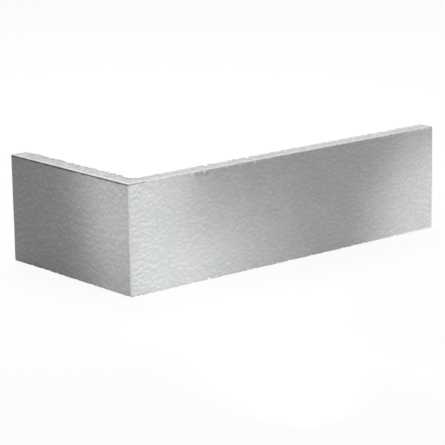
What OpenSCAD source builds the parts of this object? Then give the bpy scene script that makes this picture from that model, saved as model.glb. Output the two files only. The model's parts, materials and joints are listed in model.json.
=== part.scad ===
// Corner brick slip: one fired L of extruded clinker that turns a wall's outside corner.
// It stands on its lower bed. The long face looks along -Y, and the short face along -X.
// The origin is the middle of the box around the slip, on the floor.

/* [Legs] */
// Length of the long leg, the stretcher face, outside
stretcher_l = 240; // [200:1:300]
// Length of the short leg, the header face, outside
header_l = 115; // [90:1:150]
// Height of the course, from bed to bed
slip_h = 65; // [40:1:90]
// Thickness of both legs, from the face to the lands of the back
slip_t = 11; // [9:0.5:20]

/* [Corners] */
// Radius of the outside corner, between the two faces
corner_r = 1.2; // [1:0.1:6]
// Radius of the cove inside the bend
cove_r = 6; // [2:0.5:15]
// Radius of the arris around each face, at the beds and at the leg ends
arris_r = 0.8; // [0.3:0.1:1]

/* [Keyed back] */
// Depth of a keying groove, below the lands
groove_depth = 1.4; // [0.5:0.1:2.5]
// Width of a groove at its mouth, in the plane of the lands
groove_mouth = 3.4; // [2:0.1:5]
// How far a groove's undercut reaches beyond its mouth, on each side
groove_undercut = 0.5; // [0:0.1:1]
// Distance from one groove to the next
groove_pitch = 8; // [7.5:0.5:16]
// Least width of the plain land at a leg's end, and beside the cove
end_land = 4; // [2:0.5:15]

/* [Hidden] */
$fn = 96;
over = 1;
face_x = -stretcher_l / 2;
face_y = -header_l / 2;
back_x = face_x + slip_t;
back_y = face_y + slip_t;
end_x = face_x + stretcher_l;
end_y = face_y + header_l;

// Where the grooves of a leg lie, measured along its back from the other leg's back.
// They keep the pitch, and their row is centred between the cove and the leg's end.
function groove_centres(leg_l) =
    let (back_l = leg_l - slip_t,
         half_w = groove_mouth / 2 + groove_undercut,
         low = cove_r + end_land + half_w,
         high = back_l - end_land - half_w,
         spaces = floor((high - low) / groove_pitch),
         first = (low + high - spaces * groove_pitch) / 2)
    [for (i = [0:spaces]) first + i * groove_pitch];

// What a radius r takes off a square corner at the origin, on the side where x and y are negative
module corner_trim(r) {
    difference() {
        translate([-r, -r]) square(r + over);
        translate([-r, -r]) circle(r);
    }
}

// What a radius r adds inside a square angle at the origin, on the side where x and y are positive
module cove_fill(r) {
    difference() {
        square(r);
        translate([r, r]) circle(r);
    }
}

// Section of one undercut keying groove, open along +Y, with the lands at y = 0
module groove_section() {
    mouth = groove_mouth / 2;
    root = mouth + groove_undercut;
    polygon([[-mouth, over], [-mouth, 0], [-root, -groove_depth],
             [root, -groove_depth], [mouth, 0], [mouth, over]]);
}

// The extruded section: two legs, the cove between them and the grooves of both backs
module slip_section() {
    difference() {
        union() {
            translate([face_x, face_y]) square([stretcher_l, slip_t]);
            translate([face_x, face_y]) square([slip_t, header_l]);
            translate([back_x, back_y]) cove_fill(cove_r);
        }
        translate([face_x, face_y]) rotate(180) corner_trim(corner_r);
        translate([end_x, face_y]) rotate(-90) corner_trim(arris_r);
        translate([face_x, end_y]) rotate(90) corner_trim(arris_r);
        for (s = groove_centres(stretcher_l))
            translate([back_x + s, back_y]) groove_section();
        for (s = groove_centres(header_l))
            translate([back_x, back_y + s]) rotate(-90) groove_section();
    }
}

// What the arris takes off the upper edge of both faces and of the corner between them
module upper_arris() {
    // along the long face
    translate([face_x + corner_r, face_y, slip_h]) rotate([90, 0, 90])
        linear_extrude(stretcher_l) mirror([1, 0]) corner_trim(arris_r);
    // along the short face
    translate([face_x, end_y + over, slip_h]) rotate([90, 0, 0])
        linear_extrude(header_l - corner_r + over) mirror([1, 0]) corner_trim(arris_r);
    // round the outside corner
    translate([face_x + corner_r, face_y + corner_r, slip_h]) rotate(180)
        rotate_extrude(angle = 90) translate([corner_r, 0]) corner_trim(arris_r);
}

module corner_slip() {
    color([0.43, 0.44, 0.435])
    difference() {
        linear_extrude(slip_h) slip_section();
        upper_arris();
        translate([0, 0, slip_h]) mirror([0, 0, 1]) upper_arris();
    }
}

corner_slip();
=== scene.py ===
"""Corner brick slip: one fired L of extruded clinker with a satin mineral coat on its two faces.

The slip stands on its lower bed. Its long face looks along -Y and its short face along -X.
"""
import json
import logging
import math
from dataclasses import dataclass
from enum import Enum
from typing import ClassVar

import bmesh
import bpy
import numpy as np
from mathutils import Matrix, Vector

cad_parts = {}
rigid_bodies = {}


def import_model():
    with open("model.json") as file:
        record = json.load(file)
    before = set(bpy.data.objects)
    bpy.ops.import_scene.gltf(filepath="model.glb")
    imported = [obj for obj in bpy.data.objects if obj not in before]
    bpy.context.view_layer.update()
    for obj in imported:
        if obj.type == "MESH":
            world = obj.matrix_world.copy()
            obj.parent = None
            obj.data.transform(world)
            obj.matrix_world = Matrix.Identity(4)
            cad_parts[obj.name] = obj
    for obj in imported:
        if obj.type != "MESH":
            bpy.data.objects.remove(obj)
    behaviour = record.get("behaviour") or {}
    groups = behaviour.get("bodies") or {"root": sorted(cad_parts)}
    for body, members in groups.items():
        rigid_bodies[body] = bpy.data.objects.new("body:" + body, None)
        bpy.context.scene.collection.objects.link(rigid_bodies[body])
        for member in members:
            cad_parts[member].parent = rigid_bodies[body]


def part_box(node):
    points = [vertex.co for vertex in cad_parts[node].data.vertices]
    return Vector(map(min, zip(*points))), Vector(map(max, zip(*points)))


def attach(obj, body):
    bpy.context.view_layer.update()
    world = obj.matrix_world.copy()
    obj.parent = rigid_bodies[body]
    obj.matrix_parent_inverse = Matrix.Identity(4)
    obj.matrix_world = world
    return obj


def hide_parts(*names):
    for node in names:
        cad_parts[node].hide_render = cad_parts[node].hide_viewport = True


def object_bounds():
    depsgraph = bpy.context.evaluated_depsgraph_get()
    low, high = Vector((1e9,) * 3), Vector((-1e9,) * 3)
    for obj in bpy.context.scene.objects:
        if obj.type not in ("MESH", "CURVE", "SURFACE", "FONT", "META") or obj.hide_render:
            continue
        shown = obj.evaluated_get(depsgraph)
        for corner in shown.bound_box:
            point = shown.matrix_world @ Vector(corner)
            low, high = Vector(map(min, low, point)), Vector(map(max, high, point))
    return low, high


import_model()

CAD_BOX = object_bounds()
MM = 0.001
CM3 = 1e-6
ROUNDING = 1e-6
FULL_COAT = 0.95
LOG = logging.getLogger("corner_slip")

Socket = bpy.types.NodeSocket
Colour = tuple[float, float, float]
Pair = tuple[float, float]
Inputs = dict[str | int, object]


@dataclass(frozen=True)
class Patches:
    """Soft patches: their size, finer layers, how strong these are, and the span of noise they fade over."""

    size: float
    detail: float
    rough: float
    start: float
    end: float


@dataclass(frozen=True)
class Wire:
    """A node's output, with which sums are written as on paper."""

    canvas: "Canvas"
    socket: Socket

    def __add__(self, other: object) -> "Wire":
        """Adds a number."""
        return self.canvas.math("ADD", self, other)

    def __sub__(self, other: object) -> "Wire":
        """Takes a number away."""
        return self.canvas.math("SUBTRACT", self, other)

    def __rsub__(self, other: object) -> "Wire":
        """Takes this away from a number."""
        return self.canvas.math("SUBTRACT", other, self)

    def __mul__(self, other: object) -> "Wire":
        """Multiplies by a number."""
        return self.canvas.math("MULTIPLY", self, other)

    def __truediv__(self, other: object) -> "Wire":
        """Divides by a number."""
        return self.canvas.math("DIVIDE", self, other)

    __radd__ = __add__
    __rmul__ = __mul__


class Canvas:
    """Adds nodes to a shader or geometry tree and links them as it goes."""

    def __init__(self, tree: bpy.types.NodeTree) -> None:
        """Keeps the tree that the nodes go into."""
        self.tree = tree

    def feed(self, socket: Socket, value: object) -> None:
        """Links a socket's source, or sets its plain value.

        Args:
            socket: The input that is fed.
            value: A wire, or a number, colour, vector, text or data block.
        """
        if isinstance(value, Wire):
            self.tree.links.new(value.socket, socket)
        else:
            socket.default_value = value

    def add(self, kind: str, inputs: Inputs | None = None, **settings: object) -> bpy.types.Node:
        """Adds one node.

        Args:
            kind: The node's type name.
            inputs: What feeds it, by the socket's name or number.
            **settings: The node's own properties.

        Returns:
            The new node.
        """
        node = self.tree.nodes.new(kind)
        for name, value in settings.items():
            setattr(node, name, value)
        for key, value in (inputs or {}).items():
            self.feed(node.inputs[key], value)
        return node

    def out(self, kind: str, inputs: Inputs | None = None, which: str | int = 0, **settings: object) -> Wire:
        """Adds one node and gives one of its outputs, the first unless another is named."""
        return Wire(self, self.add(kind, inputs, **settings).outputs[which])

    def math(self, operation: str, *values: object, clamp: bool = False) -> Wire:
        """Adds one Math node, held between 0 and 1 if clamp is set."""
        return self.out("ShaderNodeMath", dict(enumerate(values)), operation=operation, use_clamp=clamp)

    def vector(self, operation: str, *values: object) -> Wire:
        """Adds one Vector Math node of two vectors."""
        return self.out("ShaderNodeVectorMath", dict(enumerate(values)), operation=operation)

    def scaled(self, vector: object, factor: object) -> Wire:
        """Multiplies a vector by a number."""
        return self.out("ShaderNodeVectorMath", {0: vector, "Scale": factor}, operation="SCALE")

    def split(self, vector: object) -> list[Wire]:
        """Gives a vector's three parts."""
        return [Wire(self, part) for part in self.add("ShaderNodeSeparateXYZ", {0: vector}).outputs]

    def xyz(self, x: object = 0.0, y: object = 0.0, z: object = 0.0) -> Wire:
        """Makes a vector of three numbers."""
        return self.out("ShaderNodeCombineXYZ", {0: x, 1: y, 2: z})

    def ramp(self, value: object, low: object, high: object, to_low: object = 0.0, to_high: object = 1.0,
             kind: str = "SMOOTHSTEP") -> Wire:
        """Maps the range from low to high onto another one, held at both ends."""
        inputs = {0: value, 1: low, 2: high, 3: to_low, 4: to_high}
        return self.out("ShaderNodeMapRange", inputs, interpolation_type=kind)

    def noise(self, vector: object, size: object, detail: float, rough: float) -> Wire:
        """Adds a noise whose grains have about the given size, in the vector's own unit."""
        grain = {"Scale": self.math("DIVIDE", 1.0, size), "Detail": detail, "Roughness": rough}
        return self.out("ShaderNodeTexNoise", {"Vector": vector, **grain})

    def patches(self, vector: object, look: Patches, to_low: object = 0.0, to_high: object = 1.0,
                size: object = None) -> Wire:
        """Adds soft patches between two values; size replaces their own where an input gives it."""
        noise = self.noise(vector, look.size if size is None else size, look.detail, look.rough)
        return self.ramp(noise, look.start, look.end, to_low, to_high)

    def cells(self, vector: object, scale: float) -> Wire:
        """Measures the distance to the nearest of many scattered points."""
        return self.out("ShaderNodeTexVoronoi", {"Vector": vector, "Scale": scale}, feature="F1")

    def blend(self, factor: object, first: object, second: object) -> Wire:
        """Mixes two colours, from the first at 0 to the second at 1."""
        return self.out("ShaderNodeMix", {0: factor, 6: first, 7: second}, which=2, data_type="RGBA")

    def lerp(self, factor: object, first: object, second: object) -> Wire:
        """Mixes two numbers, from the first at 0 to the second at 1."""
        return self.out("ShaderNodeMix", {0: factor, 2: first, 3: second}, data_type="FLOAT")

    def kept(self, name: str) -> Wire:
        """Reads, in a material, a number that the mesh keeps under a name."""
        return self.out("ShaderNodeAttribute", which="Fac", attribute_name=name)


def rgba(colour: Colour) -> tuple[float, float, float, float]:
    """Gives a colour its full opacity."""
    return (*colour, 1.0)


def steps(start: float, end: float, count: int) -> list[float]:
    """Divides a length evenly, and lists the end of each step."""
    return [start + (end - start) * i / count for i in range(1, count + 1)]


def put_in_scene(title: str, data: bpy.types.ID) -> bpy.types.Object:
    """Makes an object and puts it into the scene.

    Args:
        title: The object's name.
        data: Its mesh, camera or light.

    Returns:
        The object.
    """
    made = bpy.data.objects.new(title, data)
    bpy.context.scene.collection.objects.link(made)
    return made


def new_material(title: str) -> tuple[bpy.types.Material, Canvas, bpy.types.Node]:
    """Makes a plain material.

    Args:
        title: Its name.

    Returns:
        The material, its canvas and its shader.
    """
    material = bpy.data.materials.new(title)
    material.use_nodes = True
    shader = next(n for n in material.node_tree.nodes if n.type == "BSDF_PRINCIPLED")
    return material, Canvas(material.node_tree), shader


@dataclass(frozen=True)
class SlipSizes:
    """The slip's sizes in metres: its box from the frame, and the source's own wall, radii and keying."""

    low: Vector
    high: Vector
    wall: float = 11.0 * MM
    corner_radius: float = 1.2 * MM
    cove_radius: float = 6.0 * MM
    arris_radius: float = 0.8 * MM
    groove_depth: float = 1.4 * MM
    groove_mouth: float = 3.4 * MM
    groove_undercut: float = 0.5 * MM
    groove_pitch: float = 8.0 * MM
    end_land: float = 4.0 * MM

    @classmethod
    def from_frame(cls) -> "SlipSizes":
        """Reads the slip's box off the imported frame."""
        low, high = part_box("corner_slip")
        return cls(low=low, high=high)

    @property
    def height(self) -> float:
        """From bed to bed."""
        return self.high.z - self.low.z

    @property
    def groove_floor(self) -> float:
        """From the face to the plane of the groove floors."""
        return self.wall - self.groove_depth

    @property
    def root_half(self) -> float:
        """Half the width of a groove at its floor."""
        return self.groove_mouth / 2 + self.groove_undercut

    @property
    def arris_cut(self) -> float:
        """How far the middle of an arris lies back from each of the two planes that it joins."""
        return self.arris_radius * (1 - math.sqrt(0.5))

    @property
    def long_back(self) -> float:
        """Length of the long leg's back, from the short leg's back to the leg's end."""
        return self.high.x - self.low.x - self.wall

    @property
    def short_back(self) -> float:
        """Length of the short leg's back, from the long leg's back to the leg's end."""
        return self.high.y - self.low.y - self.wall

    @property
    def inner(self) -> Pair:
        """Where the two backs would meet without the cove."""
        return self.low.x + self.wall, self.low.y + self.wall

    def groove_centres(self, back_length: float) -> list[float]:
        """Places the grooves of one leg by the source's rule.

        Args:
            back_length: The length of that leg's back.

        Returns:
            The centre of each groove, measured from the other leg's back.
        """
        low = self.cove_radius + self.end_land + self.root_half
        high = back_length - self.end_land - self.root_half
        spaces = math.floor((high - low) / self.groove_pitch + ROUNDING)
        first = (low + high - spaces * self.groove_pitch) / 2
        return [first + i * self.groove_pitch for i in range(spaces + 1)]


@dataclass(frozen=True)
class Column:
    """One line across the wall in plan, from the face to the plane of the groove floors.

    It is made as on the long leg, measured from the slip's outer corner.
    """

    outer: Pair
    inner: Pair
    inward: Pair
    at_end: bool = False

    def set_down(self, corner: Vector, mirrored: bool) -> "Column":
        """Puts the column in its place in the frame.

        Args:
            corner: The slip's outer corner.
            mirrored: Whether the column is the short leg's.

        Returns:
            The column in its place.
        """
        way = -1 if mirrored else 1
        outer, inner = ((x + corner.x, y + corner.y) for x, y in (self.outer[::way], self.inner[::way]))
        return Column(outer, inner, self.inward[::way], self.at_end)


class Sheet:
    """A flat sheet of quads, whose points carry their share of the wall, their coat and their way inward."""

    def __init__(self, level: float) -> None:
        """Starts an empty sheet.

        Args:
            level: How high it lies.
        """
        self.level = level
        self.points: list[tuple[float, float, float]] = []
        self.quads: list[tuple[int, int, int, int]] = []
        self.across: list[float] = []
        self.coat: list[float] = []
        self.inward: list[float] = []

    def put(self, x: float, y: float, across: float, coat: float = 0.0, inward: Pair = (0.0, 0.0)) -> int:
        """Adds one point.

        Args:
            x: Its place along the long leg.
            y: Its place along the short leg.
            across: The share of the wall that lies between it and the face.
            coat: How fully it is coated.
            inward: Which way it moves in round the arris.

        Returns:
            The point's number.
        """
        self.points.append((x, y, self.level))
        self.across.append(across)
        self.coat.append(coat)
        self.inward.extend((*inward, 0.0))
        return len(self.points) - 1

    def strip(self, lines: list[list[int]]) -> None:
        """Joins neighbouring lines of points with quads.

        Args:
            lines: The lines, each a list of its points' numbers.
        """
        for here, there in zip(lines, lines[1:]):
            for k in range(len(here) - 1):
                self.quads.append((here[k], there[k], there[k + 1], here[k + 1]))

    def build(self, title: str) -> bpy.types.Object:
        """Makes the mesh with its attributes.

        Args:
            title: The object's name.

        Returns:
            The sheet's object.
        """
        mesh = bpy.data.meshes.new("slip_plan")
        mesh.from_pydata(self.points, [], self.quads)
        mesh.attributes.new("across", "FLOAT", "POINT").data.foreach_set("value", self.across)
        mesh.attributes.new("coat", "FLOAT", "POINT").data.foreach_set("value", self.coat)
        mesh.attributes.new("inward", "FLOAT_VECTOR", "POINT").data.foreach_set("vector", self.inward)
        return put_in_scene(title, mesh)


@dataclass(frozen=True)
class PlanSheet:
    """The slip's section as a flat sheet of quads, without the lands that stand between two grooves."""

    sizes: SlipSizes
    floor_columns: int = 6
    land_columns: int = 6
    end_columns: int = 7
    bend_columns: int = 20
    arc_columns: int = 3
    land_rows: int = 2
    wall_rows: int = 10
    first_row: float = 1.7 * MM
    land_share: float = 0.15
    end_inward: Pair = (-0.35, 0.6)
    end_coat: float = 0.9

    def stations(self, back_length: float) -> list[float]:
        """Lists where the columns of one leg stand, out from the bend.

        Args:
            back_length: The length of that leg's back.

        Returns:
            The columns' places, measured from the other leg's back.
        """
        s = self.sizes
        centres = s.groove_centres(back_length)
        places = [centres[0] - s.root_half]
        for here, following in zip(centres, [*centres[1:], None]):
            places += steps(here - s.root_half, here + s.root_half, self.floor_columns)
            if following is not None:
                places += steps(here + s.root_half, following - s.root_half, self.land_columns)
        places += steps(places[-1], back_length - s.arris_radius, self.end_columns)
        return [*places, back_length]

    def leg_column(self, place: float, back_length: float) -> Column:
        """Makes one column of a leg.

        Args:
            place: Where it stands, measured from the other leg's back.
            back_length: The length of that leg's back.

        Returns:
            The column.
        """
        s = self.sizes
        at_end = place == back_length
        cut = s.arris_cut if at_end else 0.0
        inward = self.end_inward if at_end else (0.0, 1.0)
        return Column((s.wall + place - cut, cut), (s.wall + place, s.groove_floor), inward, at_end)

    def bend_half(self, station: float) -> list[Column]:
        """Makes the columns of half the bend, from a leg's first groove to the diagonal.

        Args:
            station: Where the leg's first groove starts, measured from the other leg's back.

        Returns:
            The columns.
        """
        s = self.sizes
        radius = s.corner_radius
        outers = [(x, 0.0) for x in steps(s.wall + station, radius, self.bend_columns)]
        inwards = [(0.0, 1.0)] * self.bend_columns
        for turn in steps(0.0, math.pi / 4, self.arc_columns):
            outers.append((radius - radius * math.sin(turn), radius - radius * math.cos(turn)))
            inwards.append((math.sin(turn), math.cos(turn)))
        inners = [(x, s.groove_floor) for x in steps(s.wall + station, s.groove_floor, len(outers))]
        return [Column(*item) for item in zip(outers, inners, inwards)]

    def columns(self) -> tuple[list[Column], int, int]:
        """Lines up every column, from the short leg's end round the bend to the long leg's end.

        Returns:
            The columns, and the numbers of the two between which the bend's own land stands.
        """
        s = self.sizes
        short, long = self.stations(s.short_back), self.stations(s.long_back)
        end_to_bend = [self.leg_column(p, s.short_back) for p in reversed(short)]
        row = [c.set_down(s.low, True) for c in end_to_bend + self.bend_half(short[0])]
        row += [c.set_down(s.low, False) for c in reversed(self.bend_half(long[0])[:-1])]
        bend_end = len(row)
        row += [self.leg_column(p, s.long_back).set_down(s.low, False) for p in long]
        return row, len(short) - 1, bend_end

    def back_line(self, short_station: float, long_station: float) -> list[Pair]:
        """Follows the back round the cove, between the first grooves of the two legs.

        Args:
            short_station: Where the short leg's first groove starts at its floor.
            long_station: Where the long leg's first groove starts at its floor.

        Returns:
            The points of the line, from the short leg to the long leg.
        """
        s = self.sizes
        x0, y0 = s.inner
        quarter = s.cove_radius * math.pi / 4

        def half(station: float) -> list[Pair]:
            """Walks from a leg's first groove to the middle of the cove, as along the long leg.

            Args:
                station: Where that groove starts at its floor.

            Returns:
                The points of the walk, measured from where the two backs would meet.
            """
            straight = station + s.groove_undercut - s.cove_radius
            walk = []
            for along in [0.0, *steps(0.0, straight + quarter, self.bend_columns + self.arc_columns)]:
                turn = max(along - straight, 0.0) / s.cove_radius
                x = s.cove_radius * (1 - math.sin(turn)) + max(straight - along, 0.0)
                walk.append((x, s.cove_radius * (1 - math.cos(turn))))
            return walk

        short = [(x0 + y, y0 + x) for x, y in half(short_station)]
        long = [(x0 + x, y0 + y) for x, y in half(long_station)]
        return short + long[-2::-1]

    def wall_line(self, sheet: Sheet, column: Column) -> list[int]:
        """Puts down the points of one column.

        Args:
            sheet: Where they go.
            column: The column.

        Returns:
            The points' numbers, from the face to the groove floors.
        """
        s = self.sizes
        (xa, ya), (xb, yb) = column.outer, column.inner
        reach = math.hypot(xb - xa, yb - ya)
        rows = [0.0, self.first_row, *steps(self.first_row, reach, self.wall_rows - 1)]
        if column.at_end:
            rows[1] = s.arris_radius - s.arris_cut
        line = [sheet.put(xa, ya, 0.0, 1.0, column.inward)]
        for k, away in enumerate(rows[1:]):
            t = away / reach
            x, y = xa + (xb - xa) * t, ya + (yb - ya) * t
            if column.at_end and abs(xb - xa) < abs(yb - ya):
                x = xb
            elif column.at_end:
                y = yb
            line.append(sheet.put(x, y, t, self.end_coat if column.at_end and k == 0 else 0.0))
        return line

    def stand_land(self, sheet: Sheet, feet: list[int], heads: list[Pair]) -> None:
        """Stands a land on its feet.

        Args:
            sheet: Where it goes.
            feet: The points at the groove floors that it stands on.
            heads: Where it ends, in the plane of the back.
        """
        lines = []
        for foot, (hx, hy) in zip(feet, heads):
            fx, fy, _ = sheet.points[foot]
            line = [foot]
            for t in steps(0.0, 1.0, self.land_rows):
                line.append(sheet.put(fx + (hx - fx) * t, fy + (hy - fy) * t, 1.0 + self.land_share * t))
            lines.append(line)
        sheet.strip(lines)

    def build(self) -> bpy.types.Object:
        """Makes the sheet with the lands at the bend and at both ends.

        Returns:
            The sheet's object, lying at the lower bed.
        """
        s = self.sizes
        sheet = Sheet(s.low.z)
        columns, bend_start, bend_end = self.columns()
        band = [self.wall_line(sheet, column) for column in columns]
        sheet.strip(band)
        feet = [line[-1] for line in band]
        short, long = self.stations(s.short_back), self.stations(s.long_back)
        self.stand_land(sheet, feet[bend_start:bend_end + 1], self.back_line(short[0], long[0]))
        x0, y0 = s.inner
        last = self.end_columns + 1
        lead = s.groove_undercut
        spread = [i / last for i in range(last + 1)]
        heads = [(x0 + long[-last - 1 + i] - lead * (1 - t), y0) for i, t in enumerate(spread)]
        self.stand_land(sheet, feet[-last - 1:], heads)
        heads = [(x0, y0 + short[-1 - i] - lead * t) for i, t in enumerate(spread)]
        self.stand_land(sheet, feet[:last + 1], heads)
        return sheet.build("corner_slip_body")


class Tree:
    """A geometry tree with named inputs, put on an object as a modifier."""

    title: ClassVar[str]

    def __init__(self) -> None:
        """Makes the empty tree with its way in and out."""
        self.group = bpy.data.node_groups.new(self.title, "GeometryNodeTree")
        self.canvas = Canvas(self.group)
        for way in ("INPUT", "OUTPUT"):
            self.group.interface.new_socket("Geometry", in_out=way, socket_type="NodeSocketGeometry")
        self.entry = self.canvas.add("NodeGroupInput").outputs
        self.exit = self.canvas.add("NodeGroupOutput").inputs
        self.values: dict[str, object] = {}

    @property
    def mesh(self) -> Wire:
        """What the modifier is put on."""
        return Wire(self.canvas, self.entry[0])

    def takes(self, name: str, value: object) -> Wire:
        """Adds a named input to the tree.

        Args:
            name: What the input is called.
            value: What the modifier sets it to.

        Returns:
            The input, as the tree's nodes read it.
        """
        kinds = {int: "NodeSocketInt", float: "NodeSocketFloat", Vector: "NodeSocketVector"}
        kind = kinds.get(type(value), "NodeSocketMaterial")
        item = self.group.interface.new_socket(name, in_out="INPUT", socket_type=kind)
        self.values[item.identifier] = value
        return Wire(self.canvas, self.entry[name])

    def put_on(self, piece: bpy.types.Object) -> None:
        """Adds the tree to a piece, with every input set.

        Args:
            piece: The piece that carries the modifier.
        """
        modifier = piece.modifiers.new(self.title, "NODES")
        modifier.node_group = self.group
        for identifier, value in self.values.items():
            modifier[identifier] = value

    def attribute(self, name: str, kind: str = "FLOAT") -> Wire:
        """Reads a named attribute at each point."""
        return self.canvas.out("GeometryNodeInputNamedAttribute", {"Name": name}, data_type=kind)

    def store(self, geometry: Wire, name: str, value: Wire) -> Wire:
        """Keeps a number at each point under a name."""
        inputs = {"Geometry": geometry, "Name": name, "Value": value}
        return self.canvas.out("GeometryNodeStoreNamedAttribute", inputs, data_type="FLOAT", domain="POINT")

    def move(self, geometry: Wire, how: str, value: Wire) -> Wire:
        """Moves the points of a geometry by an Offset or to a Position."""
        return self.canvas.out("GeometryNodeSetPosition", {"Geometry": geometry, how: value})

    def join(self, *parts: Wire) -> Wire:
        """Joins geometries.

        Args:
            *parts: The geometries.

        Returns:
            All of them as one.
        """
        node = self.canvas.add("GeometryNodeJoinGeometry")
        for part in parts:
            self.canvas.feed(node.inputs[0], part)
        return Wire(self.canvas, node.outputs[0])


class KeyedBody(Tree):
    """Stands the lands between the grooves, then draws the section up from bed to bed."""

    title: ClassVar[str] = "Keyed body"

    def __init__(self, plan: PlanSheet, arris_rows: int = 4, face_rows: int = 44,
                 weld: float = 0.01 * MM) -> None:
        """Builds the tree for one plan.

        Args:
            plan: The section's sheet.
            arris_rows: How many rows turn the arris at each bed.
            face_rows: How many rows lie between the two arrises.
            weld: How close two points are when they are one.
        """
        super().__init__()
        s = plan.sizes
        self.plan = plan
        self.foot = self.takes("Land Foot", s.groove_pitch - 2 * s.root_half)
        self.head = self.takes("Land Head", s.groove_pitch - s.groove_mouth)
        self.depth = self.takes("Groove Depth", s.groove_depth)
        self.pitch = self.takes("Groove Pitch", s.groove_pitch)
        self.height = self.takes("Slip Height", s.height)
        self.radius = self.takes("Arris Radius", s.arris_radius)
        self.arris_rows = self.takes("Arris Rows", arris_rows)
        self.face_rows = self.takes("Face Rows", face_rows)
        self.weld = self.takes("Weld Distance", weld)
        section = self.section()
        self.canvas.feed(self.exit[0], self.welded(self.join(self.walls(section), *self.beds(section))))

    def welded(self, geometry: Wire) -> Wire:
        """Makes one point of points that lie together."""
        return self.canvas.out("GeometryNodeMergeByDistance", {"Geometry": geometry, "Distance": self.weld})

    def land(self) -> Wire:
        """Makes one land in plan, wider at its head than at its foot.

        Returns:
            The land, with the middle of its foot at the origin.
        """
        c = self.canvas
        inputs = {
            "Size X": self.foot,
            "Size Y": self.depth,
            "Vertices X": self.plan.land_columns + 1,
            "Vertices Y": self.plan.land_rows + 1,
        }
        grid = c.out("GeometryNodeMeshGrid", inputs)
        x, y, _ = c.split(c.out("GeometryNodeInputPosition"))
        half = self.depth * 0.5
        low = half * -1.0
        spread = c.ramp(y, low, half, 1.0, self.head / self.foot, "LINEAR")
        share = c.ramp(y, low, half, 1.0, 1.0 + self.plan.land_share, "LINEAR")
        return self.move(self.store(grid, "across", share), "Position", c.xyz(x * spread, y + half))

    def row_of_lands(self, land: Wire, long_leg: bool) -> Wire:
        """Repeats a land along one leg's back.

        Args:
            land: The land.
            long_leg: Whether it is the long leg, which runs along X.

        Returns:
            The row, as instances.
        """
        c, s = self.canvas, self.plan.sizes
        x0, y0 = s.inner
        centres = s.groove_centres(s.long_back if long_leg else s.short_back)
        first = centres[0] + s.groove_pitch / 2
        place = (x0 + first, y0 - s.groove_depth) if long_leg else (x0 - s.groove_depth, y0 + first)
        name = "Long Leg" if long_leg else "Short Leg"
        count = self.takes(f"Lands On {name}", len(centres) - 1)
        start = self.takes(f"First Land On {name}", Vector((*place, s.low.z)))
        offset = c.xyz(x=self.pitch) if long_leg else c.xyz(y=self.pitch)
        inputs = {"Count": count, "Start Location": start, "Offset": offset}
        line = c.out("GeometryNodeMeshLine", inputs, mode="OFFSET")
        turn = (0.0, 0.0, 0.0 if long_leg else -math.pi / 2)
        return c.out("GeometryNodeInstanceOnPoints", {"Points": line, "Instance": land, "Rotation": turn})

    def section(self) -> Wire:
        """Welds the rows of lands to the sheet.

        Returns:
            The whole section as one flat sheet.
        """
        land = self.land()
        whole = self.join(self.mesh, self.row_of_lands(land, True), self.row_of_lands(land, False))
        return self.welded(self.canvas.out("GeometryNodeRealizeInstances", {0: whole}))

    def walls(self, section: Wire) -> Wire:
        """Draws the section's outline up, and turns it in round the arris at both beds.

        Args:
            section: The flat section.

        Returns:
            The walls, open at the beds.
        """
        c = self.canvas
        # An edge of the outline has a face on one side only.
        rim = c.math("COMPARE", c.out("GeometryNodeInputMeshEdgeNeighbors"), 1.0, 0.5)
        loop = c.out("GeometryNodeMeshToCurve", {"Mesh": section, "Selection": rim})
        count = c.out("GeometryNodeAttributeDomainSize", {0: loop}, which="Point Count", component="CURVE")
        rows = self.face_rows + self.arris_rows * 2.0
        tall = rows + 1.0
        grid = c.out("GeometryNodeMeshGrid", {"Vertices X": count + 1.0, "Vertices Y": tall})
        index = c.out("GeometryNodeInputIndex")
        column = c.math("FLOOR", index / tall)
        row = index - column * tall
        nearest = c.math("MINIMUM", row, rows - row)
        turn = c.ramp(nearest, 0.0, self.arris_rows, 0.0, math.pi / 2, "LINEAR")
        step = (self.height - self.radius * 2.0) / self.face_rows
        beyond = c.math("MAXIMUM", nearest - self.arris_rows, 0.0)
        away = self.radius * (1.0 - c.math("COSINE", turn)) + beyond * step
        level = c.lerp(c.math("GREATER_THAN", row, rows * 0.5), away, self.height - away)
        inset = self.radius * (1.0 - c.math("SINE", turn))
        wrapped = c.math("MODULO", column, count)

        def read(value: Wire, kind: str) -> Wire:
            """Reads a value off the outline at the grid's own column."""
            inputs = {"Geometry": loop, "Value": value, "Index": wrapped}
            return c.out("GeometryNodeSampleIndex", inputs, data_type=kind, domain="POINT")

        base = read(c.out("GeometryNodeInputPosition"), "FLOAT_VECTOR")
        inward = read(self.attribute("inward", "FLOAT_VECTOR"), "FLOAT_VECTOR")
        raised = c.vector("ADD", c.vector("ADD", base, c.scaled(inward, inset)), c.xyz(z=level))
        for name in ("across", "coat"):
            grid = self.store(grid, name, read(self.attribute(name), "FLOAT"))
        return c.out("GeometryNodeFlipFaces", {0: self.move(grid, "Position", raised)})

    def beds(self, section: Wire) -> list[Wire]:
        """Closes the body with its two beds.

        Args:
            section: The flat section.

        Returns:
            The lower bed, facing down, and the upper bed.
        """
        c = self.canvas
        drawn = self.move(section, "Offset", c.scaled(self.attribute("inward", "FLOAT_VECTOR"), self.radius))
        return [c.out("GeometryNodeFlipFaces", {0: drawn}), self.move(drawn, "Offset", c.xyz(z=self.height))]


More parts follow.
